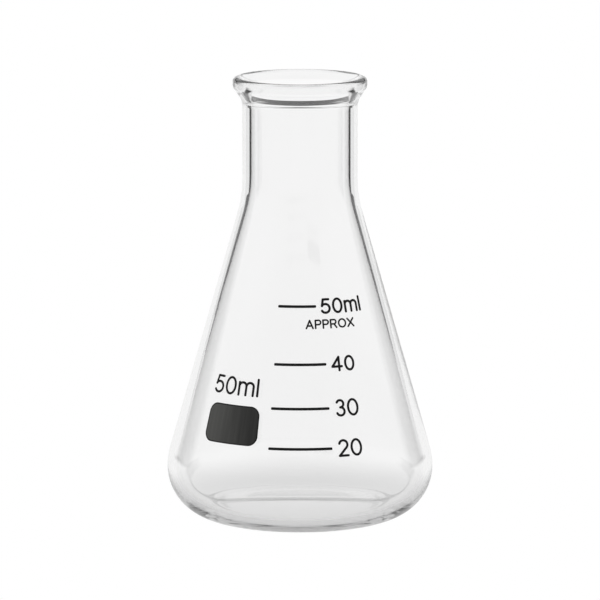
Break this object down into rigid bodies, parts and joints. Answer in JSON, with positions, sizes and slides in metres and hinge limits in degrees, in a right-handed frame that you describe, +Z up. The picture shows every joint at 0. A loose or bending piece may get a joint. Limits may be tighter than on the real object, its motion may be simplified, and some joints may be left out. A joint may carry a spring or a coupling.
{
  "type": "erlenmeyer flask",
  "caption": "Conical borosilicate laboratory flask with a beaded rim, a fired black enamel scale, capacity label and marking panel.",
  "frame": {"origin": "centre of the base, on the surface that the flask stands on", "axes": "+Z up along the flask's axis; the printed scale faces -Y"},
  "size_m": [0.051, 0.051, 0.085],
  "materials": {
    "borosilicate_glass": "polished",
    "black_enamel": "gloss",
    "panel_enamel": "satin"
  },
  "bodies": {
    "root": {"glass_vessel": "borosilicate_glass", "graduation_line_50": "black_enamel", "graduation_line_40": "black_enamel", "graduation_line_30": "black_enamel", "graduation_line_20": "black_enamel", "numerals_50ml": "black_enamel", "numeral_40": "black_enamel", "numeral_30": "black_enamel", "numeral_20": "black_enamel", "approx_mark": "black_enamel", "capacity_label_50ml": "black_enamel", "marking_panel": "panel_enamel"}
  },
  "joints": []
}
